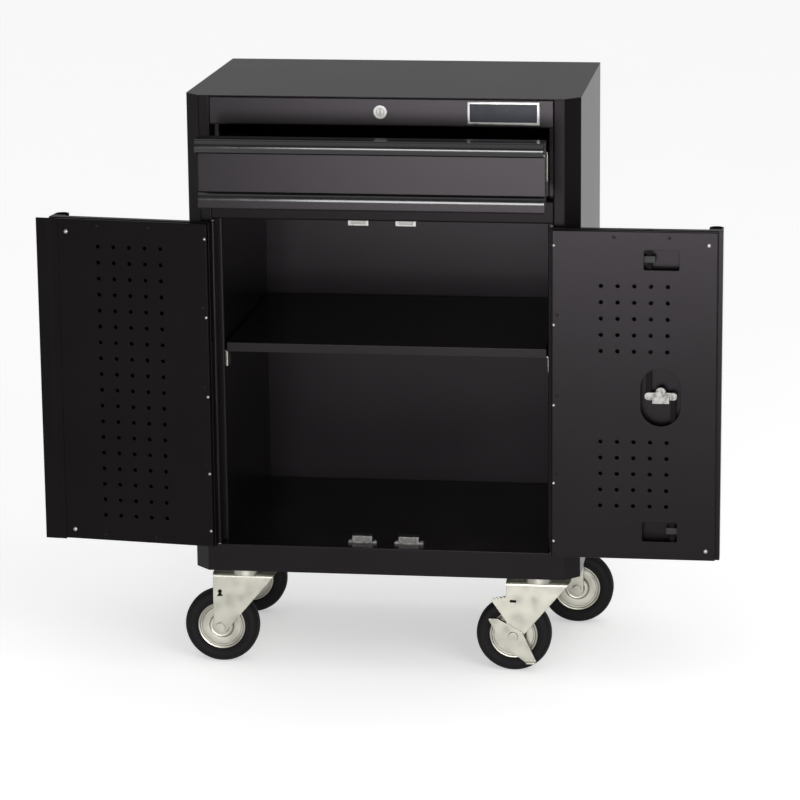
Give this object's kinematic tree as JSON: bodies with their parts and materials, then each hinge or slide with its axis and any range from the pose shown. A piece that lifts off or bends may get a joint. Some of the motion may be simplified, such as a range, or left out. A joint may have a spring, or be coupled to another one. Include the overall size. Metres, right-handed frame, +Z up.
{
  "type": "tool_cabinet",
  "caption": "Rolling sheet-steel tool cabinet with a drawer on telescopic slides, hinged doors with perforated liners, a rod lock, a shelf and swivel casters",
  "frame": {"origin": "on the floor under the centre of the carcass", "axes": "+X to the right seen from the front, +Y to the back, +Z up"},
  "size_m": [1.067, 0.547, 0.93],
  "materials": {
    "black_paint": "semi-gloss black powder coat on folded sheet steel",
    "black_gloss": "gloss black extruded pull",
    "zinc_plate": "zinc-plated steel, slightly warm, satin",
    "lock_chrome": "bright plated cylinder lock",
    "black_plastic": "moulded black plastic",
    "magnet_steel": "grey pole plates of a ferrite magnet",
    "tyre_rubber": "solid black rubber"
  },
  "bodies": {
    "cabinet": {"left_side_panel": "black_paint", "right_side_panel": "black_paint", "left_inner_wall": "black_paint", "right_inner_wall": "black_paint", "back_panel": "black_paint", "top_panel": "black_paint", "floor_tray": "black_paint", "caster_channels": "zinc_plate", "top_fascia": "black_paint", "middle_rail": "black_paint", "shelf": "black_paint", "shelf_clips": "zinc_plate", "slide_rails": "zinc_plate", "hinge_frame_leaves": "black_paint", "hinge_pins": "zinc_plate", "catch_housings": "zinc_plate", "catch_magnets": "magnet_steel", "drawer_lock_barrel": "lock_chrome", "caster_plates": "zinc_plate"},
    "drawer_lock": {"drawer_lock_plug": "lock_chrome", "drawer_lock_cam": "zinc_plate"},
    "drawer": {"drawer_box": "black_paint", "drawer_front": "black_paint", "drawer_pull": "black_gloss", "drawer_runners": "zinc_plate"},
    "slide_middle": {"slide_middles": "zinc_plate"},
    "left_door": {"left_door_skin": "black_paint", "left_door_liner": "black_paint", "left_door_pull": "black_gloss", "left_door_strip": "black_paint", "left_hinge_door_leaf": "black_paint"},
    "right_door": {"right_door_skin": "black_paint", "right_door_liner": "black_paint", "right_door_pull": "black_gloss", "right_hinge_door_leaf": "black_paint", "door_lock_barrel": "lock_chrome", "rod_guides": "black_plastic"},
    "door_lock": {"door_lock_plug": "lock_chrome", "door_lock_cam": "zinc_plate"},
    "upper_rod": {"upper_lock_rod": "black_paint"},
    "lower_rod": {"lower_lock_rod": "black_paint"},
    "front_left_caster": {"front_left_fork": "zinc_plate", "front_left_axle": "zinc_plate"},
    "front_left_wheel": {"front_left_rim": "zinc_plate", "front_left_tyre": "tyre_rubber"},
    "front_right_caster": {"front_right_fork": "zinc_plate", "front_right_axle": "zinc_plate"},
    "front_right_wheel": {"front_right_rim": "zinc_plate", "front_right_tyre": "tyre_rubber"},
    "front_right_brake": {"front_right_brake_lever": "zinc_plate"},
    "rear_left_caster": {"rear_left_fork": "zinc_plate", "rear_left_axle": "zinc_plate"},
    "rear_left_wheel": {"rear_left_rim": "zinc_plate", "rear_left_tyre": "tyre_rubber"},
    "rear_right_caster": {"rear_right_fork": "zinc_plate", "rear_right_axle": "zinc_plate"},
    "rear_right_wheel": {"rear_right_rim": "zinc_plate", "rear_right_tyre": "tyre_rubber"},
    "rear_right_brake": {"rear_right_brake_lever": "zinc_plate"}
  },
  "joints": [
    {"name": "drawer_slide", "type": "slide", "parent": "cabinet", "child": "drawer", "axis": [0, -1, 0], "range_m": [-0.11, 0.23]},
    {"name": "slide_middle_travel", "type": "slide", "parent": "cabinet", "child": "slide_middle", "axis": [0, -1, 0], "range_m": [-0.055, 0.115]},
    {"name": "left_door_hinge", "type": "hinge", "parent": "cabinet", "child": "left_door", "pos_m": [-0.26275, -0.2082, 0.4765], "axis": [0, 0, 1], "range_deg": [0, 186.5]},
    {"name": "right_door_hinge", "type": "hinge", "parent": "cabinet", "child": "right_door", "pos_m": [0.26275, -0.2082, 0.4765], "axis": [0, 0, -1], "range_deg": [-5.5, 180]},
    {"name": "drawer_lock_turn", "type": "hinge", "parent": "cabinet", "child": "drawer_lock", "pos_m": [0, -0.205, 0.90725], "axis": [0, 1, 0], "range_deg": [0, 90]},
    {"name": "door_lock_turn", "type": "hinge", "parent": "right_door", "child": "door_lock", "pos_m": [0.43175, -0.2114, 0.4765], "axis": [0, 1, 0], "range_deg": [0, 90]},
    {"name": "upper_rod_slide", "type": "slide", "parent": "right_door", "child": "upper_rod", "axis": [0, 0, 1], "range_m": [0, 0.019]},
    {"name": "lower_rod_slide", "type": "slide", "parent": "right_door", "child": "lower_rod", "axis": [0, 0, -1], "range_m": [0, 0.019]},
    {"name": "front_left_swivel", "type": "hinge", "parent": "cabinet", "child": "front_left_caster", "pos_m": [-0.236, -0.13, 0.1732], "axis": [0, 0, 1], "continuous": true},
    {"name": "front_left_wheel_spin", "type": "hinge", "parent": "front_left_caster", "child": "front_left_wheel", "pos_m": [-0.276, -0.13, 0.06], "axis": [0, 1, 0], "continuous": true},
    {"name": "front_right_swivel", "type": "hinge", "parent": "cabinet", "child": "front_right_caster", "pos_m": [0.236, -0.13, 0.1732], "axis": [0, 0, 1], "continuous": true},
    {"name": "front_right_wheel_spin", "type": "hinge", "parent": "front_right_caster", "child": "front_right_wheel", "pos_m": [0.196, -0.13, 0.06], "axis": [0, 1, 0], "continuous": true},
    {"name": "front_right_brake_press", "type": "hinge", "parent": "front_right_caster", "child": "front_right_brake", "pos_m": [0.196, -0.13, 0.06], "axis": [0, 1, 0], "range_deg": [0, 20]},
    {"name": "rear_left_swivel", "type": "hinge", "parent": "cabinet", "child": "rear_left_caster", "pos_m": [-0.236, 0.13, 0.1732], "axis": [0, 0, 1], "continuous": true},
    {"name": "rear_left_wheel_spin", "type": "hinge", "parent": "rear_left_caster", "child": "rear_left_wheel", "pos_m": [-0.276, 0.13, 0.06], "axis": [0, 1, 0], "continuous": true},
    {"name": "rear_right_swivel", "type": "hinge", "parent": "cabinet", "child": "rear_right_caster", "pos_m": [0.236, 0.13, 0.1732], "axis": [0, 0, 1], "continuous": true},
    {"name": "rear_right_wheel_spin", "type": "hinge", "parent": "rear_right_caster", "child": "rear_right_wheel", "pos_m": [0.276, 0.13, 0.06], "axis": [0, 1, 0], "continuous": true},
    {"name": "rear_right_brake_press", "type": "hinge", "parent": "rear_right_caster", "child": "rear_right_brake", "pos_m": [0.276, 0.13, 0.06], "axis": [0, -1, 0], "range_deg": [0, 20]}
  ],
  "couplings": [
    {"joint": "slide_middle_travel", "follows": "drawer_slide", "ratio": 0.5},
    {"joint": "lower_rod_slide", "follows": "upper_rod_slide", "ratio": 1},
    {"joint": "door_lock_turn", "follows": "upper_rod_slide", "rad_per_m": 82.673}
  ]
}
